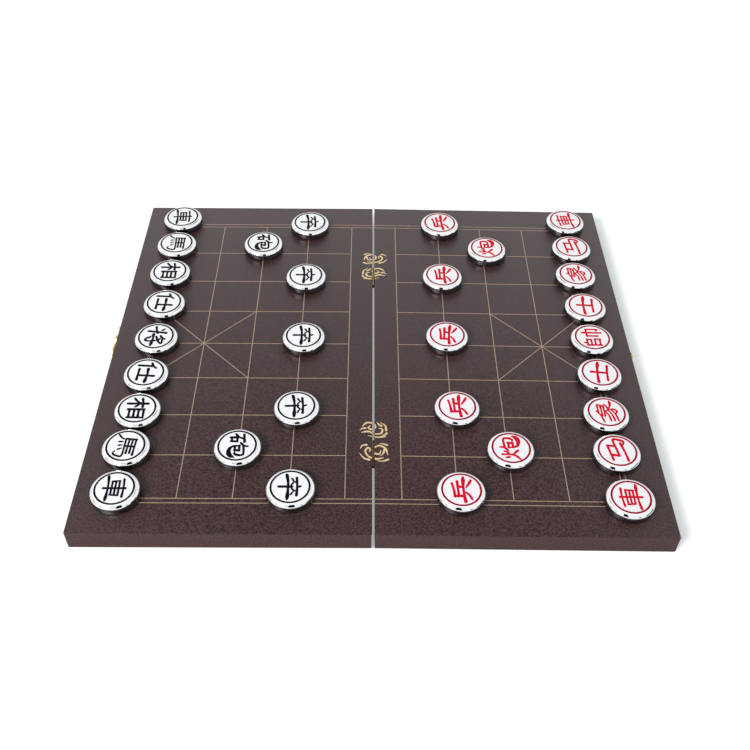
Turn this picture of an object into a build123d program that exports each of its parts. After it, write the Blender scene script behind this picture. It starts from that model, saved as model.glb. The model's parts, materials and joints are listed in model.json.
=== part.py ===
from build123d import *
import math
import os

# A folding xiangqi board box with its thirty-two pieces, lying open and set out for a game.
# Millimetres. X runs across the river: black's half is on -X and red's on +X.
# Y runs along the fold, away from the near side. Z is up, from the table.
# The origin is on the table, under the middle of the fold.
#
# Each half is a shallow tray lying hollow side down. Its pieces are drawn "outward": X is the
# distance from the fold's pin, Z the height above the rim plane, and the rim plane goes through
# the pin. The left half is the mirror image. On the table the hinge barrels lift the fold a
# little, so each half slopes down to its clasp end, which rests on the table.

# Printed grid and the margins outside it
GRID = 30.0
RIVER_WIDTH = 30.4
END_MARGIN = 24.8
SIDE_MARGIN = 23.0
PRINT_THICKNESS = 0.03

# Tray
HALF_THICKNESS = 12.0
SKIN_THICKNESS = 0.4
STEEL_THICKNESS = 0.4
PANEL_THICKNESS = 2.4
LINING_THICKNESS = 0.8
RAIL_WIDTH = 8.0
PANEL_LEDGE = 3.0
TRAY_FIT = 0.1
CORNER_RADIUS = 0.8

# Hinges
HINGE_LENGTH = 19.0
HINGE_INSET = 64.0
KNUCKLE_COUNT = 4
KNUCKLE_GAP = 0.15
BARREL_RADIUS = 1.2
PIN_RADIUS = 0.6
PIN_CLEARANCE = 0.04
LEAF_THICKNESS = 0.5
LEAF_PLAY = 0.35
LEAF_RISE = 9.0
BARREL_CLEARANCE = 0.25

# Latch on the left half's end wall, catch on the right half's
LATCH_PIVOT_Y = 8.3
CATCH_Y = -0.5
MOUNT_PLATE_THICKNESS = 0.6
LATCH_PLATE_WIDTH = 8.7
LATCH_PLATE_HEIGHT = 9.0
BOSS_RADIUS = 1.8
BOSS_HEIGHT = 0.5
HOOK_THICKNESS = 0.9
HOOK_SIDE_PLAY = 0.1
HOOK_HUB_RADIUS = 3.4
HOOK_ARM_WIDTH = 2.6
HOOK_TIP_RADIUS = 2.1
HOOK_TAIL_REACH = 12.4
HOOK_TAIL_ROOT = 3.4
HOOK_TAIL_TIP = 1.6
TAB_LENGTH = 4.0
TAB_BEND = 10.0
MOUTH_CLEARANCE = 0.25
RIVET_RADIUS = 1.0
RIVET_CLEARANCE = 0.04
RIVET_HEAD_RADIUS = 2.6
RIVET_HEAD_TOP = 1.4
RIVET_HEAD_HEIGHT = 0.8
STEM_LENGTH = 5.0
PEG_RADIUS = 0.9
PEG_HEAD_RADIUS = 2.0
PEG_HEAD_TOP = 1.7
PEG_HEAD_HEIGHT = 0.8
CATCH_PLATE_LENGTH = 12.2
CATCH_PLATE_HEIGHT = 7.0
STEM_FIT = 0.02

# Pieces: a case with a sloping shoulder and a magnet let into its base
PIECE_RADIUS = 13.6
PIECE_HEIGHT = 6.0
PIECE_SIDES = 32
SHOULDER_DROP = 2.8
SHOULDER_INSET = 1.3
MAGNET_RADIUS = 5.0
MAGNET_THICKNESS = 2.0
MAGNET_SIDES = 8
MAGNET_FIT = 0.05

fold_gap = 2 * (LEAF_THICKNESS + LEAF_PLAY)
wall = fold_gap / 2
half_length = RIVER_WIDTH / 2 + 4 * GRID + END_MARGIN
half_depth = 4 * GRID + SIDE_MARGIN
slope = math.degrees(math.asin(BARREL_RADIUS / half_length))
rail_top = HALF_THICKNESS - SKIN_THICKNESS
panel_top = rail_top - STEEL_THICKNESS
ledge_height = panel_top - PANEL_THICKNESS
ledge_reach = RAIL_WIDTH - PANEL_LEDGE
hinge_y = half_depth - HINGE_INSET
latch_height = HALF_THICKNESS / 2
hook_reach = math.hypot(LATCH_PIVOT_Y - CATCH_Y, 2 * latch_height)
hook_base = half_length + MOUNT_PLATE_THICKNESS + BOSS_HEIGHT
head_seat = MOUNT_PLATE_THICKNESS + BOSS_HEIGHT + HOOK_THICKNESS + 2 * HOOK_SIDE_PLAY


def slab(x0, x1, y0, y1, z0, z1):
    """A block between two opposite corners."""
    return Pos((x0 + x1) / 2, (y0 + y1) / 2, (z0 + z1) / 2) * Box(x1 - x0, y1 - y0, z1 - z0)


def inset_slab(inset, low, high):
    """A block of the tray's outline, drawn in by the same amount on all four sides."""
    edge = half_depth - inset
    return slab(wall + inset, half_length - inset, -edge, edge, low, high)


def outward(shape, x, y, z):
    """Turns what was made along +Z to point along +X, and puts it at a place."""
    return Pos(x, y, z) * Rot(0, 90, 0) * shape


def lying(shape, side):
    """Puts a shape drawn outward onto its half as the open board lies on the table."""
    if side == "left":
        return Location((0, 0, BARREL_RADIUS), (0, -slope, 0)) * mirror(shape, about=Plane.YZ)
    return Location((0, 0, BARREL_RADIUS), (0, slope, 0)) * shape


def save(shape, name):
    export_step(shape, f"parts/{name}.step")


# Tray: a skin over a steel sheet and a panel, let into a frame of four mitred rails


def clasp_corners_rounded(block):
    """Rounds the two upright edges at the clasp end, which is the end furthest along X."""
    return fillet(block.edges().filter_by(Axis.Z).sort_by(Axis.X)[-2:], CORNER_RADIUS)


def rail_frame(side):
    """The frame before it is cut at the mitres, with its ledge, its coves and its clasp hole."""
    frame = clasp_corners_rounded(inset_slab(0, 0, rail_top))
    frame -= inset_slab(RAIL_WIDTH, 0, rail_top)
    frame -= inset_slab(ledge_reach, ledge_height, rail_top)
    cove = Rot(90, 0, 0) * Cylinder(
        BARREL_RADIUS + BARREL_CLEARANCE, HINGE_LENGTH + 2 * BARREL_CLEARANCE
    )
    for y in (-hinge_y, hinge_y):
        frame -= Pos(0, y, 0) * cove
    return frame - stem_hole(side)


def mitre_corners(inset):
    """The four corners of the tray's outline drawn in by an amount, anticlockwise from the fold."""
    edge = half_depth - inset
    start = wall + inset
    end = half_length - inset
    return [(start, -edge), (end, -edge), (end, edge), (start, edge)]


def mitred_rail(frame, number):
    """One side of the frame, cut from it by a prism that ends on the two mitre lines."""
    outer = mitre_corners(0)
    inner = mitre_corners(RAIL_WIDTH)
    follow = (number + 1) % 4
    outline = Polyline(outer[number], outer[follow], inner[follow], inner[number], close=True)
    return frame & extrude(make_face(outline), rail_top)


def playing_skin():
    return clasp_corners_rounded(inset_slab(0, rail_top, HALF_THICKNESS))


def steel_sheet():
    return inset_slab(ledge_reach + TRAY_FIT, panel_top, rail_top)


def panel():
    return inset_slab(ledge_reach + TRAY_FIT, ledge_height, panel_top)


def felt_lining():
    return inset_slab(RAIL_WIDTH + TRAY_FIT, ledge_height - LINING_THICKNESS, ledge_height)


# Hinges: two leaves of rolled brass with interleaved knuckles on one pin


def knuckle_spans(first):
    """The stretches of the barrel that one leaf owns: every second one, from the first."""
    pitch = HINGE_LENGTH / KNUCKLE_COUNT
    spans = []
    for number in range(first, KNUCKLE_COUNT, 2):
        low = -HINGE_LENGTH / 2 + number * pitch
        spans.append((low + KNUCKLE_GAP / 2, low + pitch - KNUCKLE_GAP / 2))
    return spans


def hinge_leaf(first):
    """A leaf on the wall by the fold, with its knuckles rolled round the pin."""
    face = wall - LEAF_THICKNESS
    half = HINGE_LENGTH / 2
    leaf = slab(face, wall, -half, half, BARREL_RADIUS + BARREL_CLEARANCE, LEAF_RISE)
    bore = Rot(90, 0, 0) * Cylinder(PIN_RADIUS + PIN_CLEARANCE, HINGE_LENGTH)
    for low, high in knuckle_spans(first):
        barrel = Pos(0, (low + high) / 2, 0) * Rot(90, 0, 0) * Cylinder(BARREL_RADIUS, high - low)
        leaf += barrel + slab(face, wall, low, high, 0, BARREL_RADIUS + BARREL_CLEARANCE)
    return leaf - bore


def hinge_pin():
    return Rot(90, 0, 0) * Cylinder(PIN_RADIUS, HINGE_LENGTH)


# Latch and catch: a riveted hook that swings down over a headed peg


def wall_sketch(sketch, x, y, thickness):
    """A flat shape standing on the end wall: its own X becomes Y and its own Y becomes Z."""
    return Pos(x, y, latch_height) * extrude(Plane.YZ * sketch, thickness)


def stem_hole(side):
    """The hole for the rivet or the peg, through the plate and into the end wall."""
    middle = LATCH_PIVOT_Y if side == "left" else CATCH_Y
    radius = RIVET_RADIUS if side == "left" else PEG_RADIUS
    depth = hook_base - half_length + STEM_LENGTH + STEM_FIT
    hole = Cylinder(radius + STEM_FIT, depth, align=(Align.CENTER, Align.CENTER, Align.MAX))
    return outward(hole, hook_base, middle, latch_height)


def latch_plate():
    """The plate that the hook turns on, with a raised boss round the rivet."""
    sheet = Rectangle(LATCH_PLATE_WIDTH, LATCH_PLATE_HEIGHT)
    plate = wall_sketch(sheet, half_length, LATCH_PIVOT_Y, MOUNT_PLATE_THICKNESS)
    plate += wall_sketch(
        Circle(BOSS_RADIUS), half_length, LATCH_PIVOT_Y, MOUNT_PLATE_THICKNESS + BOSS_HEIGHT
    )
    return plate - stem_hole("left")


def catch_plate():
    sheet = Rectangle(CATCH_PLATE_LENGTH, CATCH_PLATE_HEIGHT)
    plate = wall_sketch(sheet, half_length, CATCH_Y, MOUNT_PLATE_THICKNESS)
    return plate - stem_hole("right")


def hook_outline():
    """The hook lying level: hub at the origin, mouth towards -X and open below, tail towards +X."""
    arm = Pos(-hook_reach / 2, 0) * Rectangle(hook_reach, HOOK_ARM_WIDTH)
    tip = Pos(-hook_reach, 0) * Circle(HOOK_TIP_RADIUS)
    bend = HOOK_TAIL_REACH - TAB_LENGTH
    tail = make_face(
        Polyline(
            (0, -HOOK_TAIL_ROOT / 2),
            (bend, -HOOK_TAIL_TIP / 2),
            (bend, HOOK_TAIL_TIP / 2),
            (0, HOOK_TAIL_ROOT / 2),
            close=True,
        )
    )
    mouth_radius = PEG_RADIUS + MOUTH_CLEARANCE
    mouth = Pos(-hook_reach, 0) * Circle(mouth_radius)
    mouth += Pos(-hook_reach, -HOOK_TIP_RADIUS / 2) * Rectangle(2 * mouth_radius, HOOK_TIP_RADIUS)
    outline = Circle(HOOK_HUB_RADIUS) + arm + tip + tail
    return outline - mouth - Circle(RIVET_RADIUS + RIVET_CLEARANCE)


def latch_hook():
    """The hook, with the finger tab at the end of its tail bent a little away from the wall."""
    base = hook_base + HOOK_SIDE_PLAY
    hook = wall_sketch(hook_outline(), base, LATCH_PIVOT_Y, HOOK_THICKNESS)
    tab = slab(0, HOOK_THICKNESS, 0, TAB_LENGTH, -HOOK_TAIL_TIP / 2, HOOK_TAIL_TIP / 2)
    knee = slab(0, HOOK_THICKNESS, -HOOK_THICKNESS, 0, -HOOK_TAIL_TIP / 2, HOOK_TAIL_TIP / 2)
    bend_y = LATCH_PIVOT_Y + HOOK_TAIL_REACH - TAB_LENGTH
    hook += Pos(base, bend_y, latch_height) * (knee + Rot(0, 0, -TAB_BEND) * tab)
    return hook


def headed_stem(radius, head_radius, head_top_radius, head_height):
    """A stem along -X from under its head, long enough to pass the hook and enter the wall."""
    stem = Cylinder(
        radius, head_seat + STEM_LENGTH, align=(Align.CENTER, Align.CENTER, Align.MAX)
    )
    head = Cone(
        head_radius, head_top_radius, head_height, align=(Align.CENTER, Align.CENTER, Align.MIN)
    )
    return stem + head


def latch_rivet():
    """A rivet with a sloping head, through hook and plate into the end wall."""
    rivet = headed_stem(RIVET_RADIUS, RIVET_HEAD_RADIUS, RIVET_HEAD_TOP, RIVET_HEAD_HEIGHT)
    return outward(rivet, half_length + head_seat, LATCH_PIVOT_Y, latch_height)


def catch_peg():
    """A headed peg that stands out far enough for the hook to pass under its head."""
    peg = headed_stem(PEG_RADIUS, PEG_HEAD_RADIUS, PEG_HEAD_TOP, PEG_HEAD_HEIGHT)
    return outward(peg, half_length + head_seat, CATCH_Y, latch_height)


# Pieces: how far each one stands off its crossing, outward and then away, in the order
# far to near. Nobody sets a piece down exactly on its crossing.
BACK_ROW = ["chariot", "horse", "elephant", "adviser", "general", "adviser", "elephant"]
BACK_ROW += ["horse", "chariot"]
BLACK_BACK_ROW = [(0, 4), (0, 4), (0, 3.5), (-1, 2), (-1, 0), (0, -1.5), (0, -0.5), (1.5, 1.5), (2, 2)]
BLACK_CANNONS = [(0.5, 5), (0, 2)]
BLACK_SOLDIERS = [(-0.5, -1.5), (-0.5, 0), (-2, 1.5), (-1, 2), (-1, 3.5)]
RED_BACK_ROW = [(1.5, 5), (1.5, 4.5), (0, 5), (1.5, 3), (1, 3), (0.5, 2), (-1, 0), (0, 1), (1.5, -1)]
RED_CANNONS = [(2.5, 1.5), (1, 2)]
RED_SOLDIERS = [(1.5, -0.5), (0.5, 1.5), (0.5, 3.5), (3, 3), (1.5, 2.5)]
PLACED = {
    "left": (BLACK_BACK_ROW, BLACK_CANNONS, BLACK_SOLDIERS),
    "right": (RED_BACK_ROW, RED_CANNONS, RED_SOLDIERS),
}
ARMY = {"left": "black", "right": "red"}


def set_out(side):
    """Name, steps out from the river line, files from the middle and nudge of sixteen pieces."""
    back_row, cannons, soldiers = PLACED[side]
    rows = []
    for number, (role, nudge) in enumerate(zip(BACK_ROW, back_row)):
        where = "" if number == 4 else ("_far" if number < 4 else "_near")
        rows.append((role + where, 4, 4 - number, nudge))
    for where, file_step, nudge in zip(("_far", "_near"), (3, -3), cannons):
        rows.append(("cannon" + where, 2, file_step, nudge))
    for number, nudge in enumerate(soldiers):
        rows.append((f"soldier_{number + 1}", 1, 4 - 2 * number, nudge))
    return rows


def piece_case():
    """The round case, many-sided so that thirty-two stay light, with a pocket under it."""
    case = extrude(RegularPolygon(PIECE_RADIUS, PIECE_SIDES), PIECE_HEIGHT)
    rim = case.faces().sort_by(Axis.Z)[-1].edges()
    case = chamfer(rim, SHOULDER_DROP, SHOULDER_INSET)
    pocket = RegularPolygon(MAGNET_RADIUS + MAGNET_FIT, MAGNET_SIDES)
    return case - extrude(pocket, MAGNET_THICKNESS + MAGNET_FIT)


def playing_piece(steps_out, file_step, nudge):
    """A piece, case and magnet, standing on the printed face near its crossing."""
    magnet = extrude(RegularPolygon(MAGNET_RADIUS, MAGNET_SIDES), MAGNET_THICKNESS)
    x = RIVER_WIDTH / 2 + steps_out * GRID + nudge[0]
    y = file_step * GRID + nudge[1]
    return Pos(x, y, HALF_THICKNESS + PRINT_THICKNESS) * Compound([piece_case(), magnet])


RAILS = ["near_rail", "clasp_rail", "far_rail", "hinge_rail"]
HINGES = {"near": -hinge_y, "far": hinge_y}


def build_half(side):
    """One tray with its hinge leaves and its army."""
    frame = rail_frame(side)
    for number, name in enumerate(RAILS):
        save(lying(mitred_rail(frame, number), side), f"{side}_{name}")
    save(lying(playing_skin(), side), f"{side}_playing_skin")
    save(lying(steel_sheet(), side), f"{side}_steel_sheet")
    save(lying(panel(), side), f"{side}_panel")
    save(lying(felt_lining(), side), f"{side}_felt_lining")
    leaf = hinge_leaf(0 if side == "left" else 1)
    for where, y in HINGES.items():
        save(lying(Pos(0, y, 0) * leaf, side), f"{where}_hinge_{side}_leaf")
    for name, steps_out, file_step, nudge in set_out(side):
        save(lying(playing_piece(steps_out, file_step, nudge), side), f"{ARMY[side]}_{name}")


os.makedirs("parts", exist_ok=True)
for half in ("left", "right"):
    build_half(half)
for where, y in HINGES.items():
    save(lying(Pos(0, y, 0) * hinge_pin(), "left"), f"{where}_hinge_pin")
save(lying(latch_plate(), "left"), "latch_plate")
save(lying(latch_hook(), "left"), "latch_hook")
save(lying(latch_rivet(), "left"), "latch_rivet")
save(lying(catch_plate(), "right"), "catch_plate")
save(lying(catch_peg(), "right"), "catch_peg")
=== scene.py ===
import json
import math

import bmesh
import bpy
from mathutils import Matrix, Vector


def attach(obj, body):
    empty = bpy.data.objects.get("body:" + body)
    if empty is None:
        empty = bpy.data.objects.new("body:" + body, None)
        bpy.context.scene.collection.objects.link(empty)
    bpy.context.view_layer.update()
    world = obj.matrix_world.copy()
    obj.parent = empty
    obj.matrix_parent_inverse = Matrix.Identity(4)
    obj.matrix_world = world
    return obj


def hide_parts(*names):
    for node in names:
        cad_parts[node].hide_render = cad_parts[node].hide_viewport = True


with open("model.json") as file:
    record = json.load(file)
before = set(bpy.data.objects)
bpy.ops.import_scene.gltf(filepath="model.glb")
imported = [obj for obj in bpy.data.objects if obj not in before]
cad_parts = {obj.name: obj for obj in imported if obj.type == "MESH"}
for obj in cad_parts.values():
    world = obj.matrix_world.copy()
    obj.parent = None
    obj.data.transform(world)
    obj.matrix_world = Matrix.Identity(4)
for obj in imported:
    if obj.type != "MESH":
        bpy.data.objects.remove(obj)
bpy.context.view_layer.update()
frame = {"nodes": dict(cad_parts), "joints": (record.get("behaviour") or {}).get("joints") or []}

# The looks of a folding xiangqi board box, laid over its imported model. Metres, Z up.
# Things on a half of the board are drawn "outward": X is the distance from the fold's pin,
# Z the height above the rim plane, and lay() puts them on the left or the right half.
MM = 0.001
SIDES = ("left", "right")
joints = {joint["name"]: joint for joint in frame["joints"]}
pin_height = joints["board_fold"]["pos_m"][2]
ARMY = {"left": "black", "right": "red"}
PIECES = {
    side: [node for node in frame["nodes"] if node.startswith(ARMY[side] + "_")] for side in SIDES
}


def lay(side):
    """The matrix that takes a point drawn outward to its place on one half of the open board."""
    lift = joints[PIECES[side][0] + "_lift"]["axis"]
    tilt = Matrix.Rotation(math.atan2(lift[0], lift[2]), 4, "Y")
    mirrored = Matrix.Diagonal((-1 if side == "left" else 1, 1, 1, 1))
    return Matrix.Translation((0, 0, pin_height)) @ tilt @ mirrored


LAY = {side: lay(side) for side in SIDES}


def local_box(side, node):
    """Lowest and highest corner of a CAD node, drawn outward."""
    back = LAY[side].inverted()
    points = [back @ vertex.co for vertex in frame["nodes"][node].data.vertices]
    low = Vector([min(p[axis] for p in points) for axis in range(3)])
    high = Vector([max(p[axis] for p in points) for axis in range(3)])
    return low, high


skin_low, skin_high = local_box("right", "right_playing_skin")
board_top = skin_high.z

# ---------------------------------------------------------------- node trees


class Graph:
    """The node tree of a material or of the world."""

    def __init__(self, owner):
        owner.use_nodes = True
        self.nodes = owner.node_tree.nodes
        self.links = owner.node_tree.links

    def node(self, kind):
        """A new shader node of that kind."""
        return self.nodes.new("ShaderNode" + kind)

    def feed(self, value, into):
        """Sets an input to a number, or links it to an output."""
        if isinstance(value, (int, float)):
            into.default_value = value
        else:
            self.links.new(value, into)

    def number(self, operation, one, other):
        """The result of a sum on two numbers."""
        made = self.node("Math")
        made.operation = operation
        self.feed(one, made.inputs[0])
        self.feed(other, made.inputs[1])
        return made.outputs["Value"]

    def vector(self, operation, given, by=(0, 0, 0)):
        """The node of a sum on a vector output and a constant vector."""
        made = self.node("VectorMath")
        made.operation = operation
        made.inputs[1].default_value = by
        self.links.new(given, made.inputs[0])
        return made

    def remap(self, value, start, end, low, high, interpolation="LINEAR"):
        """A number that runs from low to high while the value runs from start to end."""
        made = self.node("MapRange")
        made.interpolation_type = interpolation
        made.inputs["From Min"].default_value = start
        made.inputs["From Max"].default_value = end
        made.inputs["To Min"].default_value = low
        made.inputs["To Max"].default_value = high
        self.links.new(value, made.inputs["Value"])
        return made.outputs["Result"]

    def pick(self, factor, one, other):
        """One number at a factor of 0 and the other at 1."""
        made = self.node("Mix")
        for value, socket in ((factor, "Factor"), (one, "A"), (other, "B")):
            self.feed(value, made.inputs[socket])
        return made.outputs["Result"]

    def pick_shader(self, factor, one, other):
        """One shader at a factor of 0 and the other at 1."""
        made = self.node("MixShader")
        for value, into in zip((factor, one, other), made.inputs):
            self.links.new(value, into)
        return made.outputs[0]


# Noise seldom leaves this range, so colours and numbers run across it.
NOISE_SPREAD = (0.3, 0.7)


class Material(Graph):
    """A node material round one Principled shader, with object coordinates for its patterns."""

    def __init__(self, name, **sockets):
        self.material = bpy.data.materials.new(name)
        super().__init__(self.material)
        self.shader = self.nodes["Principled BSDF"]
        for socket, value in sockets.items():
            self.shader.inputs[socket.replace("_", " ")].default_value = value
        self.place = self.node("TexCoord").outputs["Object"]

    def noise(self, grain, detail, stretch=(1, 1, 1)):
        """Noise whose grain is about so many metres long, before it is stretched."""
        scale = [1 / grain / share for share in stretch]
        scaled = self.vector("MULTIPLY", self.place, scale)
        texture = self.node("TexNoise")
        texture.inputs["Scale"].default_value = 1.0
        texture.inputs["Detail"].default_value = detail
        self.links.new(scaled.outputs[0], texture.inputs["Vector"])
        return texture.outputs["Fac"]

    def ramp(self, factor, low, high, spread=NOISE_SPREAD):
        """A colour that runs from low to high with the factor."""
        ramp = self.node("ValToRGB")
        for point, place, colour in zip(ramp.color_ramp.elements, spread, (low, high)):
            point.position = place
            point.color = (*colour, 1)
        self.links.new(factor, ramp.inputs["Fac"])
        return ramp.outputs["Color"]

    def between(self, factor, low, high):
        """A number that runs from low to high with the factor."""
        return self.remap(factor, *NOISE_SPREAD, low, high)

    def tinted(self, share, colour, tint):
        """A colour output with a share of a plain tint."""
        mixed = self.node("Mix")
        mixed.data_type = "RGBA"
        factor_in, colour_in, tint_in = [socket for socket in mixed.inputs if socket.enabled]
        self.links.new(share, factor_in)
        self.links.new(colour, colour_in)
        tint_in.default_value = (*tint, 1)
        return [socket for socket in mixed.outputs if socket.enabled][0]

    def colour(self, out):
        """Gives the shader its colour."""
        self.links.new(out, self.shader.inputs["Base Color"])

    def roughness(self, out):
        """Gives the shader its roughness."""
        self.links.new(out, self.shader.inputs["Roughness"])

    def bump(self, height, depth):
        """Gives the shader small bumps of that depth in metres."""
        bump = self.node("Bump")
        bump.inputs["Distance"].default_value = depth
        bump.inputs["Strength"].default_value = 1.0
        self.links.new(height, bump.inputs["Height"])
        self.links.new(bump.outputs["Normal"], self.shader.inputs["Normal"])


def grained(name, pattern, tones, gloss, **sockets):
    """A material whose colour and roughness follow one noise, and that noise."""
    made = Material(name, **sockets)
    grain = made.noise(*pattern)
    made.colour(made.ramp(grain, *tones))
    made.roughness(made.between(grain, *gloss))
    return made, grain


# ---------------------------------------------------------------- materials


FILM_GRAIN = 1.1 * MM
FILM_HAZE = 16 * MM
FILM_CONTRAST = (0.36, 0.64)
FILM_CLOUDING = 0.25
FILM_GLOSS = (0.28, 0.48)
FILM_RELIEF = 0.05 * MM


def film_material(name, sheen, dark, light, cloud):
    """Dark red-brown wrapping film with a fine grain and a hazy sheen."""
    film = Material(name, IOR=sheen)
    fine = film.noise(FILM_GRAIN, 4)
    broad = film.noise(FILM_HAZE, 2)
    base = film.ramp(fine, dark, light, FILM_CONTRAST)
    film.colour(film.tinted(film.between(broad, 0.0, FILM_CLOUDING), base, cloud))
    film.roughness(film.between(fine, *FILM_GLOSS))
    film.bump(fine, FILM_RELIEF)
    return film.material


FOIL_WEAR = (0.9 * MM, 4)
FOIL_GRAIN = (0.4 * MM, 2)
FOIL_RELIEF = 0.01 * MM
FOIL_DULLING = 0.15


def gold_material(name, tones, roughness):
    """Gold foil stamped into the film, a little worn."""
    gloss = (roughness, roughness + FOIL_DULLING)
    gold, _ = grained(name, FOIL_WEAR, tones, gloss, Metallic=0.35, IOR=1.5)
    gold.bump(gold.noise(*FOIL_GRAIN), FOIL_RELIEF)
    return gold.material


PLATING_STAIN = (6 * MM, 2)
PLATING_HAZE = (1.2 * MM, 3)
PLATING_WAVE = (2.2 * MM, 2)
PLATING_RELIEF = 0.03 * MM


def plating_material(name, tones, roughness):
    """Bright plating with the faint unevenness of a plated moulding.

    Light that it throws back on the board is spread, so that the patches are soft.
    """
    plating = Material(name, Metallic=1.0)
    plating.colour(plating.ramp(plating.noise(*PLATING_STAIN), *tones))
    polish = plating.between(plating.noise(*PLATING_HAZE), roughness, roughness * 2)
    thrown = plating.node("LightPath").outputs["Is Diffuse Ray"]
    plating.roughness(plating.number("ADD", thrown, polish))
    plating.bump(plating.noise(*PLATING_WAVE), PLATING_RELIEF)
    return plating.material


FACE_STAIN = (5 * MM, 2)
FACE_GRAIN = (0.8 * MM, 3)
FACE_TONES = ((0.86, 0.87, 0.89), (0.90, 0.91, 0.92))
FACE_GLOSS = (0.22, 0.34)


def face_material():
    """White face print under a clear gloss."""
    face = Material("white_face", IOR=1.5, Coat_Weight=0.4, Coat_Roughness=0.06)
    face.colour(face.ramp(face.noise(*FACE_STAIN), *FACE_TONES))
    face.roughness(face.between(face.noise(*FACE_GRAIN), *FACE_GLOSS))
    return face.material


INK_GRAIN = (0.7 * MM, 3)
INK_GLOSS = (0.28, 0.42)


def ink_material(name, low, high):
    """Printing ink, a little patchy, with hardly any shine."""
    sockets = {"IOR": 1.5, "Specular_IOR_Level": 0.08}
    ink, _ = grained(name, INK_GRAIN, (low, high), INK_GLOSS, **sockets)
    return ink.material


BRASS_STAIN = (2.5 * MM, 3)
BRASS_BRUSHING = (0.25 * MM, 2, (1, 12, 1))
BRASS_DULLING = 0.14
BRASS_RELIEF = 0.01 * MM


def brass_material(name, tones, roughness):
    """Brass plate, brushed along the sheet and handled."""
    gloss = (roughness, roughness + BRASS_DULLING)
    brass, _ = grained(name, BRASS_STAIN, tones, gloss, Metallic=1.0)
    brass.bump(brass.noise(*BRASS_BRUSHING), BRASS_RELIEF)
    return brass.material


def rough_material(name, pattern, tones, gloss, relief, **sockets):
    """A plain material whose bumps follow the same grain as its colour."""
    made, grain = grained(name, pattern, tones, gloss, **sockets)
    made.bump(grain, relief)
    return made.material


# Painted sheen: the top film's tones are greyer than the edge film's, standing in for the gloss that
# the top of the one wrapping film shows.
SHEENED_FILM_TONES = (0.022, 0.0100, 0.0100), (0.062, 0.0275, 0.0290), (0.036, 0.0140, 0.0150)
EDGE_TONES = (0.014, 0.0015, 0.0020), (0.077, 0.0260, 0.0280), (0.039, 0.0100, 0.0110)
LINE_TONES = (0.38, 0.27, 0.19), (0.52, 0.38, 0.27)
RIVER_TONES = (0.78, 0.52, 0.26), (0.95, 0.74, 0.44)
RIM_TONES = (0.88, 0.89, 0.90), (0.94, 0.945, 0.95)
# Painted shade: the base ring's plating is darkened to stand in for the dark reflection of the board
# and the shade about the piece's foot.
SHADED_BASE_TONES = (0.15, 0.14, 0.15), (0.21, 0.20, 0.21)
HINGE_TONES = (0.78, 0.58, 0.20), (0.95, 0.78, 0.38)
CLASP_TONES = (0.88, 0.64, 0.18), (0.98, 0.84, 0.40)
FELT_TONES = (0.018, 0.050, 0.030), (0.045, 0.105, 0.065)
BOARD_TONES = (0.24, 0.15, 0.085), (0.42, 0.29, 0.18)
STEEL_TONES = (0.50, 0.51, 0.53), (0.66, 0.67, 0.69)
FERRITE_TONES = (0.018, 0.018, 0.020), (0.045, 0.044, 0.046)
FILM = film_material("brown_film", 1.6, *SHEENED_FILM_TONES)
EDGE_FILM = film_material("brown_edge_film", 1.42, *EDGE_TONES)
LINE_GOLD = gold_material("line_gold", LINE_TONES, 0.42)
RIVER_GOLD = gold_material("river_gold", RIVER_TONES, 0.34)
PLATING = plating_material("bright_plating", RIM_TONES, 0.015)
SHADED_BASE_PLATING = plating_material("base_plating", SHADED_BASE_TONES, 0.06)
FACE = face_material()
INKS = {
    "left": (
        ink_material("black_ring_ink", (0.003, 0.002, 0.010), (0.006, 0.005, 0.016)),
        ink_material("black_mark_ink", (0.002, 0.002, 0.008), (0.005, 0.005, 0.013)),
    ),
    "right": (
        ink_material("red_ring_ink", (0.30, 0.001, 0.024), (0.36, 0.003, 0.034)),
        ink_material("red_mark_ink", (0.60, 0.002, 0.022), (0.68, 0.005, 0.030)),
    ),
}
HINGE_BRASS = brass_material("hinge_brass", HINGE_TONES, 0.08)
CLASP_BRASS = brass_material("clasp_brass", CLASP_TONES, 0.20)
FERRITE = rough_material(
    "ferrite", (0.5 * MM, 4), FERRITE_TONES, (0.5, 0.7), 0.04 * MM, IOR=1.6
)
FELT = rough_material(
    "green_felt",
    (0.35 * MM, 5),
    FELT_TONES,
    (0.85, 0.98),
    0.25 * MM,
    IOR=1.4,
    Sheen_Weight=0.4,
    Sheen_Roughness=0.5,
)
FIBREBOARD = rough_material(
    "raw_fibreboard", (0.6 * MM, 5, (3, 1, 1)), BOARD_TONES, (0.75, 0.9), 0.08 * MM, IOR=1.45
)
STEEL = rough_material(
    "sheet_steel", (0.5 * MM, 3, (14, 1, 1)), STEEL_TONES, (0.25, 0.42), 0.01 * MM, Metallic=1.0
)


def finish(names, material):
    """Gives CAD nodes their finish."""
    for name in names:
        slots = frame["nodes"][name].data.materials
        slots.clear()
        slots.append(material)


for side in SIDES:
    rails = [f"{side}_{name}_rail" for name in ("near", "clasp", "far", "hinge")]
    finish(rails, EDGE_FILM)
    finish([f"{side}_panel"], FIBREBOARD)
    finish([f"{side}_steel_sheet"], STEEL)
    finish([f"{side}_felt_lining"], FELT)
hinges = [node for node in frame["nodes"] if "_hinge_" in node and "rail" not in node]
finish(hinges, HINGE_BRASS)
finish(["latch_plate", "latch_hook", "latch_rivet", "catch_plate", "catch_peg"], CLASP_BRASS)

# ---------------------------------------------------------------- meshes


SMOOTH_UP_TO = 35


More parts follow.
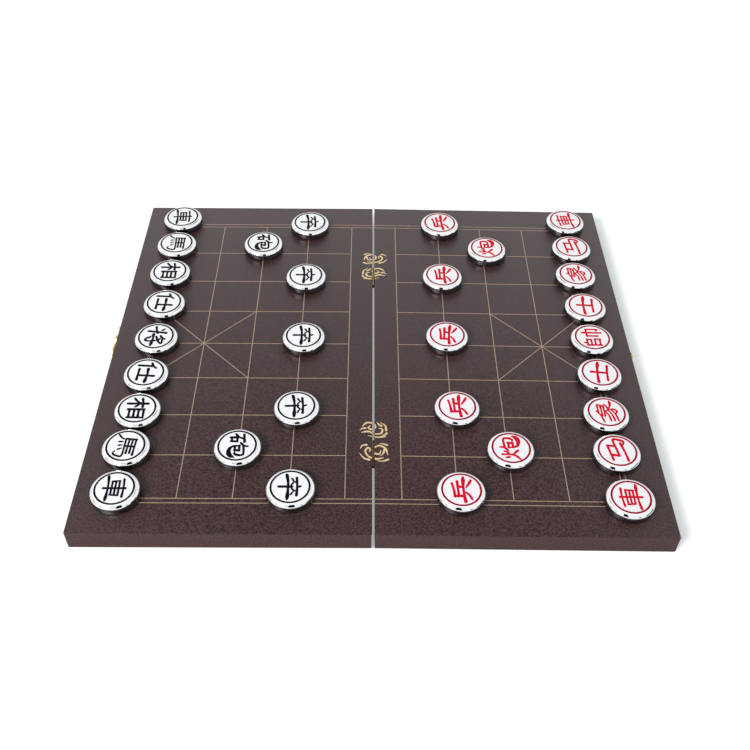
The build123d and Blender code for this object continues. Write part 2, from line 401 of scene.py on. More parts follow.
def piece_of(name, mesh_data, materials, body, place, sharp=SMOOTH_UP_TO):
    """Turns a bmesh into an object that rides on a body, put in place by a matrix."""
    mesh_data.transform(place)
    bmesh.ops.recalc_face_normals(mesh_data, faces=mesh_data.faces)
    mesh = bpy.data.meshes.new(name)
    mesh_data.to_mesh(mesh)
    mesh_data.free()
    for material in materials:
        mesh.materials.append(material)
    mesh.shade_smooth()
    mesh.set_sharp_from_angle(angle=math.radians(sharp))
    made = bpy.data.objects.new(name, mesh)
    bpy.context.scene.collection.objects.link(made)
    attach(made, body)
    return made


def arc(centre, radius, start, end, steps):
    """Points on an arc, in degrees."""
    angles = [math.radians(start + (end - start) * step / steps) for step in range(steps + 1)]
    return [(centre[0] + radius * math.cos(a), centre[1] + radius * math.sin(a)) for a in angles]


def lathe(mesh, profile, segments):
    """Turns a profile of (radius, height) about Z. A radius of nothing makes a pole."""
    rings = []
    for radius, height in profile:
        if radius == 0:
            rings.append([mesh.verts.new((0, 0, height))] * segments)
            continue
        turns = [2 * math.pi * step / segments for step in range(segments)]
        points = [(radius * math.cos(t), radius * math.sin(t), height) for t in turns]
        rings.append([mesh.verts.new(point) for point in points])
    for lower, upper in zip(rings, rings[1:]):
        for step in range(segments):
            follow = (step + 1) % segments
            corners = [lower[step], lower[follow], upper[follow], upper[step]]
            mesh.faces.new(list(dict.fromkeys(corners)))


def prism(mesh, outline_low, outline_high, faces, material):
    """Closes a thin sheet: faces index the outline, which runs once round."""
    for ring, turned in ((outline_low, True), (outline_high, False)):
        for face in faces:
            corners = [ring[i] for i in face]
            mesh.faces.new(corners[::-1] if turned else corners).material_index = material
    count = len(outline_low)
    for i in range(count):
        k = (i + 1) % count
        side = mesh.faces.new((outline_low[i], outline_low[k], outline_high[k], outline_high[i]))
        side.material_index = material


def sheet(mesh, outline, faces, low, high, material=0):
    """A flat sheet of that outline between two heights."""
    below = [mesh.verts.new((x, y, low)) for x, y in outline]
    above = [mesh.verts.new((x, y, high)) for x, y in outline]
    prism(mesh, below, above, faces, material)


# ---------------------------------------------------------------- playing skin


FILM_TURN_IN = 0.3 * MM
FOLD_EDGE = skin_low.x - FILM_TURN_IN
UPRIGHT_ROUNDING = 0.8 * MM
ARRIS = 0.12 * MM
LEVEL_ENOUGH = 0.95


def skin_piece(name, mesh, materials, side):
    """A piece that belongs to the playing skin of one half."""
    return piece_of(name, mesh, materials, f"{side}_half", LAY[side])


def rounding(mesh, edges, radius, segments):
    """Rounds the edges of a mesh."""
    shape = {"segments": segments, "profile": 0.5, "affect": "EDGES"}
    bmesh.ops.bevel(mesh, geom=edges, offset=radius, **shape)


def rounded_skin(side):
    """The film over the tray's top, wrapped round its edges."""
    mesh = bmesh.new()
    bmesh.ops.create_cube(mesh, size=1.0)
    low = Vector((FOLD_EDGE, skin_low.y, skin_low.z))
    size = skin_high - low
    for vertex in mesh.verts:
        vertex.co = low + Vector([(vertex.co[i] + 0.5) * size[i] for i in range(3)])
    upright = [
        edge
        for edge in mesh.edges
        if abs(edge.verts[0].co.z - edge.verts[1].co.z) > size.z / 2
        and edge.verts[0].co.x > size.x / 2
    ]
    rounding(mesh, upright, UPRIGHT_ROUNDING, 5)
    near_top = skin_high.z - size.z / 10
    rim = [edge for edge in mesh.edges if all(v.co.z > near_top for v in edge.verts)]
    rounding(mesh, rim, ARRIS, 4)
    mesh.normal_update()
    for face in mesh.faces:
        face.material_index = 0 if face.normal.z > LEVEL_ENOUGH else 1
    made = skin_piece(f"{side}_wrapped_skin", mesh, [FILM, EDGE_FILM], side)
    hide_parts(f"{side}_playing_skin")


# ---------------------------------------------------------------- printed grid


GRID = 30.0 * MM
RIVER = 30.4 * MM
LINE = 0.48 * MM
BORDER_STEP = 3.0 * MM
PRINT_LOW = board_top - 0.002 * MM
PRINT_HIGH = board_top + 0.018 * MM
OVERPRINT = 0.004 * MM


def line(mesh, start, end, level=0):
    """One printed line with square ends, which reach half its width past both points.

    Lines that cross lie on different levels, so that their tops never coincide.
    """
    along = (Vector(end) - Vector(start)).normalized() * (LINE / 2)
    across = Vector((-along.y, along.x))
    start = Vector(start) - along
    end = Vector(end) + along
    corners = [start - across, end - across, end + across, start + across]
    high = PRINT_HIGH + level * OVERPRINT
    sheet(mesh, [tuple(c) for c in corners], [(0, 1, 2, 3)], PRINT_LOW, high)


def printed_grid(side):
    """Five ranks, the files, the palace and the double border of one half."""
    mesh = bmesh.new()
    bank = RIVER / 2
    home = bank + 4 * GRID
    border = home + BORDER_STEP
    edge = 4 * GRID
    rim = edge + BORDER_STEP
    fold = FOLD_EDGE + ARRIS + LINE / 2
    for rank in range(5):
        line(mesh, (bank + rank * GRID, -edge), (bank + rank * GRID, edge))
    for number in range(-4, 5):
        start = fold if abs(number) == 4 else bank
        line(mesh, (start, number * GRID), (home, number * GRID), 1)
    for way in (-1, 1):
        line(mesh, (home - 2 * GRID, way * GRID), (home, -way * GRID), 2 + (way > 0))
        line(mesh, (fold, way * rim), (border, way * rim), 1)
    line(mesh, (border, -rim), (border, rim))
    skin_piece(f"{side}_printed_grid", mesh, [LINE_GOLD], side)


# ---------------------------------------------------------------- brush strokes


# Width of a stroke along its length, as (share of the length, width in mm).
BRUSH = {
    "heng": ((0, 1.45), (0.12, 1.35), (0.5, 1.15), (0.85, 1.45), (1, 1.55)),
    "wave": ((0, 1.70), (0.08, 1.75), (0.35, 1.25), (0.65, 1.35), (0.88, 2.15), (1, 1.35)),
    "shu": ((0, 1.75), (0.12, 1.55), (0.6, 1.45), (1, 1.60)),
    "pie": ((0, 1.25), (0.4, 1.15), (0.8, 1.45), (1, 1.10)),
    "na": ((0, 0.95), (0.4, 1.30), (0.8, 2.05), (1, 1.00)),
    "dian": ((0, 0.90), (0.5, 1.35), (0.8, 1.50), (1, 1.20)),
    "zhe": ((0, 1.35), (0.3, 1.20), (0.7, 1.35), (1, 1.30)),
    "gou": ((0, 1.30), (0.4, 1.20), (0.8, 1.60), (1, 0.80)),
    "thin": ((0, 0.80), (0.5, 0.95), (0.85, 1.20), (1, 0.90)),
    "bao": ((0, 1.0), (0.3, 1.3), (0.5, 2.0), (0.7, 2.6), (0.85, 2.2), (1, 0.6)),
}
CAP_STEPS = 4
CURVE_STEPS = 6
STRAIGHT_STEPS = 4
STRAIGHT_BRUSHES = ("zhe",)
SHARPEST_MITRE = 0.5


def width_at(brush, share):
    """A brush's width in mm at a share of its stroke's length."""
    stops = BRUSH[brush]
    for (s0, w0), (s1, w1) in zip(stops, stops[1:]):
        if share <= s1:
            return w0 + (w1 - w0) * (share - s0) / (s1 - s0)
    return stops[-1][1]


def curved(points):
    """Points on a smooth curve through the given points (a Catmull-Rom spline)."""
    if len(points) < 3:
        return cornered(points, CURVE_STEPS)
    ends = [Vector(p) for p in points]
    ends = [2 * ends[0] - ends[1], *ends, 2 * ends[-1] - ends[-2]]
    found = []
    for a, b, c, d in zip(ends, ends[1:], ends[2:], ends[3:]):
        for i in range(CURVE_STEPS):
            t = i / CURVE_STEPS
            square = 2 * a - 5 * b + 4 * c - d
            cube = 3 * b - a - 3 * c + d
            found.append(b + ((c - a) * t + square * t**2 + cube * t**3) / 2)
    return [*found, ends[-2]]


def cornered(points, steps=STRAIGHT_STEPS):
    """Points on the straight runs between the given points."""
    found = []
    for a, b in zip(points, points[1:]):
        found += [Vector(a).lerp(Vector(b), i / steps) for i in range(steps)]
    return [*found, Vector(points[-1])]


def brushed_sides(brush, path, weight):
    """The two sides of a brush stroke along a path. They are mitred at its corners."""
    lengths = [0.0]
    for a, b in zip(path, path[1:]):
        lengths.append(lengths[-1] + (b - a).length)
    left = []
    right = []
    for i, point in enumerate(path):
        before = (point - path[max(i - 1, 0)]).normalized()
        after = (path[min(i + 1, len(path) - 1)] - point).normalized()
        along = (before + after).normalized()
        across = Vector((-along.y, along.x))
        turn = max(abs(along.dot(after if i == 0 else before)), SHARPEST_MITRE)
        half = weight * width_at(brush, lengths[i] / lengths[-1]) / 2 / turn
        left.append(point + across * half)
        right.append(point - across * half)
    return left, right


def stroke(mesh, brush, points, low, high, weight, material=0):
    """A brush stroke through points in mm: a thin sheet whose width follows the brush."""
    path = cornered(points) if brush in STRAIGHT_BRUSHES else curved(points)
    left, right = brushed_sides(brush, path, weight)
    count = len(path)
    outline = right + cap(right[-1], left[-1]) + left[::-1] + cap(left[0], right[0])
    last_left = count + CAP_STEPS - 1
    faces = []
    for i in range(count - 1):
        opposite = last_left + count - 1 - i
        faces.append((i, i + 1, opposite - 1, opposite))
    faces.append(tuple(range(count - 1, count + CAP_STEPS)))
    faces.append((*range(last_left + count - 1, len(outline)), 0))
    sheet(mesh, [(p.x * MM, p.y * MM) for p in outline], faces, low, high, material)


def cap(start, end):
    """The points of a half circle between two edge points, without the ends."""
    centre = (start + end) / 2
    arm = start - centre
    turned = Vector((-arm.y, arm.x))
    angles = [math.pi * step / CAP_STEPS for step in range(1, CAP_STEPS)]
    return [centre + arm * math.cos(a) + turned * math.sin(a) for a in angles]


# The rank marks, in mm about the middle of a face, upright, as plain brush strokes.
CHARIOT = [
    ("heng", (-6.1, 4.4), (0, 4.9), (5.8, 4.8)),
    ("zhe", (-4.9, 2.4), (-4.5, -1.7)),
    ("zhe", (-4.9, 2.3), (4.7, 2.5), (4.4, -1.8)),
    ("zhe", (-4.5, 0.4), (4.4, 0.5)),
    ("zhe", (-4.4, -1.5), (4.4, -1.4)),
    ("wave", (-7.9, -4.2), (-3.0, -3.6), (3.0, -3.4), (8.2, -3.6)),
    ("shu", (0, 5.9), (0, -5.9)),
]
ARMS = [
    ("dian", (-0.4, 5.9), (0.1, 4.5)),
    ("heng", (-6.0, 3.3), (0, 3.8), (5.8, 3.7)),
    ("thin", (-2.6, 3.2), (-3.6, 1.9), (-5.6, 0.7)),
    ("thin", (-3.2, 2.0), (-1.3, 0.7)),
    ("thin", (2.9, 3.2), (2.3, 1.9), (1.1, 0.8)),
    ("thin", (2.8, 2.0), (5.4, 0.6)),
]
MARKS = {
    "black_chariot": CHARIOT,
    "red_chariot": CHARIOT,
    "black_horse": [
        ("shu", (-4.7, 5.3), (-5.0, -0.6)),
        ("heng", (-4.6, 5.1), (6.4, 5.2)),
        ("heng", (-4.7, 3.2), (5.2, 3.3)),
        ("heng", (-4.8, 1.3), (5.4, 1.4)),
        ("shu", (0.4, 5.0), (0.3, -0.5)),
        ("gou", (-5.1, -0.7), (0, -0.5), (7.2, -0.5), (7.3, -3.4), (6.0, -5.6), (3.9, -4.9)),
        ("pie", (-4.7, -1.9), (-5.9, -3.7), (-7.7, -5.2)),
        ("dian", (-2.8, -2.0), (-2.6, -4.2)),
        ("dian", (-0.4, -2.0), (0.1, -4.0)),
        ("dian", (2.0, -1.9), (2.9, -3.7)),
    ],
    "black_elephant": [
        ("heng", (-7.5, 2.2), (-4.0, 2.9), (-1.0, 3.0)),
        ("shu", (-3.6, 5.8), (-3.6, -5.7)),
        ("pie", (-3.8, 1.8), (-5.2, -0.4), (-7.8, -2.5)),
        ("dian", (-3.0, 0.9), (-1.1, -1.2)),
        ("shu", (0.9, 4.2), (0.8, -4.9)),
        ("zhe", (0.9, 4.1), (7.2, 4.3), (7.0, -4.9)),
        ("heng", (0.9, 1.3), (7.0, 1.4)),
        ("heng", (0.9, -1.3), (7.0, -1.2)),
        ("heng", (0.9, -4.0), (7.0, -3.9)),
    ],
    "black_adviser": [
        ("pie", (-3.9, 5.4), (-5.4, 3.6), (-8.0, 2.2)),
        ("shu", (-5.4, 3.0), (-5.4, -5.2)),
        ("wave", (-3.0, 1.0), (2.0, 1.4), (8.3, 1.0)),
        ("shu", (2.7, 5.4), (2.7, -4.0)),
        ("heng", (-2.6, -4.2), (6.6, -4.0)),
    ],
    "black_general": [
        ("dian", (-6.2, 4.9), (-4.9, 3.4)),
        ("shu", (-2.6, 6.0), (-4.6, -5.0)),
        ("heng", (-8.3, -0.5), (-5.2, 0.0), (-2.6, 0.9)),
        ("pie", (2.9, 5.7), (1.8, 4.2), (-0.3, 2.8)),
        ("pie", (1.9, 4.3), (6.8, 3.9), (4.3, 1.6), (0.2, 0.3)),
        ("dian", (2.1, 2.9), (3.5, 2.0)),
        ("wave", (-1.8, -1.5), (3.0, -1.6), (8.2, -2.5)),
        ("gou", (4.2, 0.0), (4.3, -4.6), (3.2, -6.1), (0.9, -5.0)),
        ("dian", (0.0, -2.9), (1.6, -4.1)),
    ],
    "black_soldier": [
        *ARMS,
        ("wave", (-7.9, -2.1), (-3.0, -1.2), (3.0, -1.0), (8.3, -1.2)),
        ("shu", (0, 0.9), (0, -6.0)),
    ],
    "red_horse": [
        ("zhe", (-6.5, 3.6), (3.9, 4.9), (3.3, 0.7)),
        ("shu", (-2.9, 3.4), (-3.6, -0.2)),
        ("gou", (-3.7, -0.3), (1.8, 0.4), (8.0, 0.9), (7.6, -2.6), (6.3, -4.7), (3.9, -3.9)),
        ("heng", (-7.4, -4.6), (-1.0, -3.9), (5.3, -2.7)),
    ],
    "red_elephant": [
        ("pie", (0.6, 5.9), (-2.6, 3.9), (-7.8, 2.3)),
        ("heng", (-0.7, 4.8), (5.5, 4.9)),
        ("pie", (5.6, 4.9), (5.3, 3.2), (4.6, 1.4)),
        ("heng", (-3.0, 2.9), (5.1, 3.1)),
        ("heng", (-3.2, 1.3), (4.6, 1.4)),
        ("pie", (0.6, 1.1), (-2.4, -0.8), (-6.9, -1.7)),
        ("gou", (0.2, 1.0), (2.0, -1.6), (2.2, -4.2), (0.8, -5.9), (-1.5, -5.1)),
        ("pie", (1.3, -1.3), (-2.2, -2.9), (-6.9, -3.9)),
        ("pie", (1.9, -2.9), (-1.8, -4.9), (-6.9, -6.0)),
        ("pie", (6.0, 0.7), (4.4, -0.3), (2.3, -1.1)),
        ("na", (2.3, -1.0), (5.0, -2.6), (8.6, -2.7)),
    ],
    "red_adviser": [
        ("wave", (-8.2, 1.0), (-2.8, 1.5), (2.8, 1.5), (8.5, 1.1)),
        ("shu", (0.1, 5.3), (0.1, -4.3)),
        ("heng", (-6.0, -4.5), (0, -4.2), (6.2, -4.4)),
    ],
    "red_general": [
        ("dian", (-4.4, 5.8), (-5.6, 4.0)),
        ("shu", (-7.1, 3.7), (-7.0, -4.9)),
        ("zhe", (-7.1, 3.6), (-1.9, 3.8), (-2.2, 1.0)),
        ("heng", (-6.9, 1.1), (-2.3, 1.2)),
        ("zhe", (-7.0, -1.2), (-1.6, -1.1), (-1.8, -4.7)),
        ("heng", (-6.9, -4.2), (-1.9, -4.1)),
        ("shu", (1.1, 3.3), (1.1, -3.5)),
        ("zhe", (1.1, 3.2), (7.1, 3.4), (7.0, -3.4), (5.8, -3.1)),
        ("shu", (4.0, 5.8), (4.0, -5.8)),
    ],
    "red_soldier": [
        ("pie", (4.3, 5.0), (0, 4.1), (-4.6, 3.7)),
        ("shu", (-4.4, 3.7), (-4.2, -0.9)),
        ("heng", (-4.1, 1.6), (0.6, 1.9), (5.5, 2.1)),
        ("shu", (1.9, 1.8), (1.8, -0.9)),
        ("wave", (-8.1, -1.8), (-3.0, -1.2), (3.0, -1.0), (8.3, -1.2)),
        ("pie", (-1.9, -2.4), (-3.6, -4.0), (-6.4, -5.4)),
        ("dian", (1.5, -2.5), (3.8, -4.0), (6.4, -5.3)),
    ],
}
WRAPPER = [
    ("pie", (0.6, 5.9), (0.2, 3.9), (-1.9, 1.8)),
    ("gou", (0.2, 3.5), (3.6, 3.9), (6.6, 3.7), (6.9, 0.8), (5.8, -1.0), (4.6, -0.9)),
    ("heng", (0.2, 1.3), (3.6, 1.4)),
    ("shu", (3.6, 1.4), (3.4, -1.1)),
    ("heng", (0.9, -1.1), (3.5, -1.0)),
    ("bao", (0.4, 1.3), (0.4, -1.6), (1.9, -3.7), (4.8, -4.3), (7.3, -3.2), (8.7, -0.8)),
]
MARKS["black_cannon"] = [
    ("heng", (-7.9, 3.3), (-2.6, 3.9)),
    ("pie", (-4.9, 3.3), (-6.0, 0.6), (-8.3, -1.3)),
    ("zhe", (-5.9, -0.3), (-2.9, -0.2), (-3.0, -3.7)),
    ("shu", (-5.9, -0.4), (-5.7, -3.9)),
    ("heng", (-5.6, -3.3), (-3.1, -3.2)),
    *WRAPPER,
]
MARKS["red_cannon"] = [
    ("dian", (-7.0, 3.5), (-6.5, 1.4)),
    ("pie", (-2.5, 3.8), (-3.0, 2.6), (-4.0, 1.6)),
    ("pie", (-4.7, 5.4), (-4.8, 0.8), (-5.7, -2.2), (-8.1, -4.4)),
    ("dian", (-4.4, -0.9), (-1.7, -3.7)),
    *WRAPPER,
]
# Marks with many strokes are drawn with a finer brush.
FINE_BRUSH = {
    "black_chariot": 0.95,
    "red_chariot": 0.95,
    "black_soldier": 1.1,
    "black_horse": 0.92,
    "red_elephant": 0.92,
    "red_general": 1.0,
}
FULL_BRUSH = 1.14

# ---------------------------------------------------------------- river ornaments


# Two cloud curls, in mm about their own middle. They lie across the fold in the river.
CURL_RISING = [
    (
        "sweep",
        *((-7.0, -1.2), (-5.6, 2.6), (-2.2, 4.4), (0.9, 2.6), (0.4, -0.4), (-2.4, -0.8), (-3.0, 1.3)),
    ),
    (
        "sweep",
        *((-4.6, -3.2), (-0.6, -4.0), (3.6, -2.4), (5.4, 0.8), (4.0, 3.0), (2.6, 1.8), (3.2, 0.6)),
    ),
    ("flick", (3.2, -4.6), (6.2, -3.4), (8.6, -0.4)),
    ("flick", (4.8, 4.9), (7.2, 4.3), (8.2, 2.4)),
    ("flick", (-6.6, 4.7), (-4.8, 5.5), (-2.4, 5.6)),
    ("flick", (-7.2, -4.2), (-4.4, -5.3), (-1.2, -5.2)),
    ("flick", (-5.0, 1.6), (-4.4, -0.6), (-2.8, -2.1)),
]
CURL_RESTING = [
    ("sweep", (6.9, 2.4), (4.4, 5.0), (0.6, 4.6), (-0.8, 1.8), (1.4, 0.0), (3.4, 1.4), (2.2, 2.8)),
    ("sweep", (7.4, -2.2), (3.2, -1.6), (-0.6, -3.4), (-4.2, -2.8), (-4.8, 0.2), (-2.8, 0.9)),
    ("flick", (-7.2, -0.6), (-6.6, 3.0), (-3.6, 5.4)),
    ("flick", (-6.2, -5.2), (-1.6, -5.8), (3.6, -4.6)),
    ("flick", (-4.4, 2.6), (-3.0, 3.6), (-1.6, 5.4)),
    ("flick", (5.0, 0.9), (7.0, 0.7), (8.3, -0.6)),
    ("flick", (-7.4, -2.6), (-6.6, -3.8), (-4.6, -4.3)),
]
BRUSH["sweep"] = ((0, 0.5), (0.2, 1.3), (0.5, 0.9), (0.8, 1.2), (1, 0.5))
BRUSH["flick"] = ((0, 1.3), (0.4, 1.0), (1, 0.3))
# Which curl, its middle across the river and along it, and its size across and along.
CURLS = [
    (CURL_RISING, 0.6, 84.8, 1.0, 1.0),
    (CURL_RESTING, 0.2, 69.2, 1.0, 1.0),
    (CURL_RESTING, 0.4, -70.6, -0.95, 1.0),
    (CURL_RISING, 1.0, -87.7, -1.0, 1.15),
]
ORNAMENT_WEIGHT = 1.0
ORNAMENT_LEVELS = 5


def river_ornaments(side):
    """Gold cloud curls in the river, cut at the fold's edge."""
    mesh = bmesh.new()
    way = -1 if side == "left" else 1
    number = 0
    for strokes, across, along, width, depth in CURLS:
        for brush, *points in strokes:
            moved = [(way * (across + width * x), along + depth * y) for x, y in points]
            high = PRINT_HIGH + (1 + number % ORNAMENT_LEVELS) * OVERPRINT / 2
            stroke(mesh, brush, moved, PRINT_LOW, high, ORNAMENT_WEIGHT)
            number += 1
    everything = [*mesh.verts, *mesh.edges, *mesh.faces]
    cut = {"plane_co": (FOLD_EDGE + ARRIS, 0, 0), "plane_no": (1, 0, 0)}
    bmesh.ops.bisect_plane(mesh, geom=everything, clear_inner=True, **cut)
    bmesh.ops.holes_fill(mesh, edges=[e for e in mesh.edges if e.is_boundary], sides=0)
    skin_piece(f"{side}_river_ornaments", mesh, [RIVER_GOLD], side)


# ---------------------------------------------------------------- pieces


CASE_RADIUS = 13.5 * MM
CASE_HEIGHT = 6.0 * MM
CORNER_RADIUS = 3.0 * MM
FOOT_INSET = 1.0 * MM
SEAM_HEIGHT = 4.3 * MM
SEAM = 0.08 * MM
FACE_RADIUS = 11.6 * MM
LIP = 0.02 * MM
FACE_SINK = 0.12 * MM
MAGNET_RADIUS = 5.0 * MM
MAGNET_DEPTH = 0.25 * MM
RING_RADIUS = 10.38 * MM
RING_WIDTH = 1.14 * MM
INK = 0.012 * MM
INK_STEP = 0.003 * MM
TURNS = 96
MAGNET_TURNS = 48
CASE_SHARP = 50
# How far each mark is turned from facing its player, in degrees, anticlockwise.
TWIST = {
    "black_chariot_far": 3,
    "black_horse_near": -4,
    "black_adviser_far": -3,
    "black_adviser_near": -4,
    "black_general": 2,
    "black_soldier_1": 2,
    "black_soldier_4": 2,
    "red_chariot_far": 4,
    "red_horse_near": 3,
    "red_adviser_far": -3,
    "red_adviser_near": -6,
    "red_soldier_1": 3,
    "red_soldier_2": -2,
    "red_soldier_3": -7,
}
# The middle of the shoulder's curve, as (radius, height).
CORNER = (CASE_RADIUS - CORNER_RADIUS, CASE_HEIGHT - CORNER_RADIUS)
SEAM_ANGLE = math.degrees(math.asin((SEAM_HEIGHT - CORNER[1]) / CORNER_RADIUS))
SEAM_LOW = SEAM_HEIGHT - SEAM
SEAM_FLOOR = CORNER[0] + CORNER_RADIUS * math.cos(math.radians(SEAM_ANGLE)) - SEAM


def top_height(radius, drop=0.0):
    """Height of the piece's top at a radius: flat in the middle, rounded down at its rim."""
    past = max(radius - CORNER[0], 0)
    fall = CORNER_RADIUS - math.sqrt(max(CORNER_RADIUS**2 - past**2, 0))
    return CASE_HEIGHT - fall - drop


def case_rim(name, body, place):
    """The case's bright rim, from the seam up over the shoulder to the edge of the face."""
    mesh = bmesh.new()
    lip = FACE_RADIUS + LIP
    lip_angle = math.degrees(math.acos((lip - CORNER[0]) / CORNER_RADIUS))
    profile = [
        (0, SEAM_LOW),
        (SEAM_FLOOR - SEAM, SEAM_LOW),
        (SEAM_FLOOR, SEAM_HEIGHT - SEAM / 2),
        *arc(CORNER, CORNER_RADIUS, SEAM_ANGLE, lip_angle, 16),
        (lip, top_height(lip, FACE_SINK)),
        (0, CASE_HEIGHT - 2 * FACE_SINK),
    ]
    lathe(mesh, profile, TURNS)
    made = piece_of(f"{name}_case", mesh, [PLATING], body, place, CASE_SHARP)
    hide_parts(name)


def case_base(name, body, place):
    """The case's base ring, below the seam, with a place for the magnet. Its plating is darkened as
    painted shade for the dark reflection of the board and the shade about its foot.
    """
    mesh = bmesh.new()
    high = SEAM_LOW - SEAM / 2
    profile = [
        (0, MAGNET_DEPTH),
        (MAGNET_RADIUS + LIP, MAGNET_DEPTH),
        (MAGNET_RADIUS + LIP, LIP),
        (MAGNET_RADIUS + 2 * LIP, 0),
        *arc((CASE_RADIUS - FOOT_INSET, FOOT_INSET), FOOT_INSET, -90, 0, 6),
        *arc(CORNER, CORNER_RADIUS, 0, SEAM_ANGLE, 3),
        (SEAM_FLOOR, high),
        (0, high),
    ]
    lathe(mesh, profile, TURNS)
    piece_of(f"{name}_base", mesh, [SHADED_BASE_PLATING], body, place, CASE_SHARP)


def magnet(name, body, place):
    """The magnet's lower face, let into the base."""
    mesh = bmesh.new()
    rim = MAGNET_RADIUS - LIP
    top = MAGNET_DEPTH - LIP / 5
    wall = [(MAGNET_RADIUS, 2 * LIP), (MAGNET_RADIUS, top)]
    lathe(mesh, [(0, LIP), (rim, LIP), *wall, (0, top)], MAGNET_TURNS)
    piece_of(f"{name}_magnet", mesh, [FERRITE], body, place)


def crowned(inner, outer, drop, steps):
    """Points on the piece's top between two radii, sunk by a drop."""
    radii = [inner + (outer - inner) * step / steps for step in range(steps + 1)]
    return [(radius, top_height(radius, drop)) for radius in radii]


def white_face(name, body, place):
    """The white insert, which follows the shoulder's first curve at its rim."""
    mesh = bmesh.new()
    low = top_height(FACE_RADIUS, FACE_SINK - LIP / 5)
    drop = 2 * INK
    edge = FACE_RADIUS - LIP
    rim = [(FACE_RADIUS, low), (FACE_RADIUS, top_height(FACE_RADIUS, drop + LIP))]
    top = crowned(CORNER[0], edge, drop, 6)[::-1]
    lathe(mesh, [(0, low), *rim, *top, (0, CASE_HEIGHT - drop)], TURNS)
    piece_of(f"{name}_face", mesh, [FACE], body, place)


def rank_mark(name, side, body, place):
    """The printed ring and the rank mark."""
    mesh = bmesh.new()
    inner = RING_RADIUS - RING_WIDTH / 2
    outer = RING_RADIUS + RING_WIDTH / 2
    sunk = 2 * INK + INK_STEP
    under = crowned(inner, outer, sunk, 4)
    over = crowned(inner, outer, INK, 4)[::-1]
    lathe(mesh, [*under, *over, under[0]], TURNS)
    low = CASE_HEIGHT - sunk
    high = CASE_HEIGHT - INK
    rank = name.replace("_far", "").replace("_near", "").rstrip("_12345")
    weight = FINE_BRUSH.get(rank, FULL_BRUSH)
    for number, (brush, *points) in enumerate(MARKS[rank]):
        stroke(mesh, brush, points, low, high + number * INK_STEP / 4, weight, 1)
    piece_of(f"{name}_mark", mesh, list(INKS[side]), body, place)


def game_piece(name, side):
    """One piece, its mark turned towards the player on its own side."""
    low, high = local_box(side, name)
    middle = (low + high) / 2
    facing = -90 if side == "left" else 90
    turned = Matrix.Rotation(math.radians(facing + TWIST.get(name, 0)), 4, "Z")
    mirror_back = Matrix.Diagonal((-1 if side == "left" else 1, 1, 1, 1))
    stand = Matrix.Translation((middle.x, middle.y, low.z))
    place = LAY[side] @ stand @ mirror_back @ turned
    body = f"{name}_piece"
    case_rim(name, body, place)
    case_base(name, body, place)
    magnet(name, body, place)
    white_face(name, body, place)
    rank_mark(name, side, body, place)


for side in SIDES:
    rounded_skin(side)
    printed_grid(side)
    river_ornaments(side)
    for name in PIECES[side]:
        game_piece(name, side)

# ---------------------------------------------------------------- small fasteners


LEAF_FACE = 0.35 * MM
SCREW_RADIUS = 1.15 * MM
SCREW_SLOT = 0.3 * MM
SCREW_PROUD = 0.03 * MM
SCREW_FACE = 0.98
SCREW_TURN = 30
SCREW_SPREAD = 5.6 * MM
SCREW_LEVEL = 6.2 * MM
NAIL_RADIUS = 0.75 * MM
NAIL_HEIGHT = 0.3 * MM
NAIL_TURNS = 24
NAIL_SHARP = 50
PLATE_FACE = 160.6 * MM
PLATE_MARGIN = 1.25 * MM


def screw(name, side, along, level):
    """A countersunk slotted screw head, flush in a hinge leaf."""
    mesh = bmesh.new()
    rim = arc((0, 0), SCREW_RADIUS, 0, 345, 23)
    sheet(mesh, rim, [tuple(range(len(rim)))], -SCREW_PROUD, SCREW_PROUD / 2)
    cut = math.degrees(math.asin(SCREW_SLOT / 2 / SCREW_RADIUS))
    for start in (0, 180):
        half = arc((0, 0), SCREW_RADIUS * SCREW_FACE, start + cut, start + 180 - cut, 14)
        sheet(mesh, half, [tuple(range(len(half)))], -SCREW_PROUD / 2, SCREW_PROUD)
    face = Matrix.Rotation(math.radians(-90), 4, "Y")
    turn = Matrix.Rotation(math.radians(SCREW_TURN), 4, "Z")
    place = LAY[side] @ Matrix.Translation((LEAF_FACE, along, level)) @ face @ turn
    piece_of(name, mesh, [HINGE_BRASS], f"{side}_half", place)


def nail(name, side, along, level):
    """A round nail head on a clasp plate."""
    mesh = bmesh.new()
    angles = [math.radians(angle) for angle in range(0, 90, 15)]
    dome = [(NAIL_RADIUS * math.cos(a), NAIL_HEIGHT * math.sin(a)) for a in angles]
    low = -NAIL_HEIGHT / 4
    lathe(mesh, [(0, low), (NAIL_RADIUS, low), *dome, (0, NAIL_HEIGHT)], NAIL_TURNS)
    turn = Matrix.Rotation(math.radians(90), 4, "Y")
    place = LAY[side] @ Matrix.Translation((PLATE_FACE, along, level)) @ turn
    piece_of(name, mesh, [CLASP_BRASS], f"{side}_half", place, NAIL_SHARP)


RIB_RADIUS = 0.9 * MM
RIB_FACE = 162.98 * MM
RIB_START = 4.2 * MM
RIB_END = -3.4 * MM
RIB_LEVEL = 7.1 * MM
RIB_TURNS = 20
RIB_SHARP = 60


def hook_rib():
    """A rounded rib along the hook's arm. The solid hook is plain there."""
    mesh = bmesh.new()
    length = RIB_START - RIB_END
    start = arc((0, RIB_RADIUS), RIB_RADIUS, -90, 0, 6)
    end = arc((0, length - RIB_RADIUS), RIB_RADIUS, 0, 90, 6)
    ends = [(0, 0), *start[1:], *end[:-1], (0, length)]
    lathe(mesh, ends, RIB_TURNS)
    lie = Matrix.Rotation(math.radians(-90), 4, "X")
    place = LAY["left"] @ Matrix.Translation((RIB_FACE - RIB_RADIUS, RIB_END, RIB_LEVEL)) @ lie
    piece_of("latch_hook_rib", mesh, [CLASP_BRASS], "latch", place, RIB_SHARP)


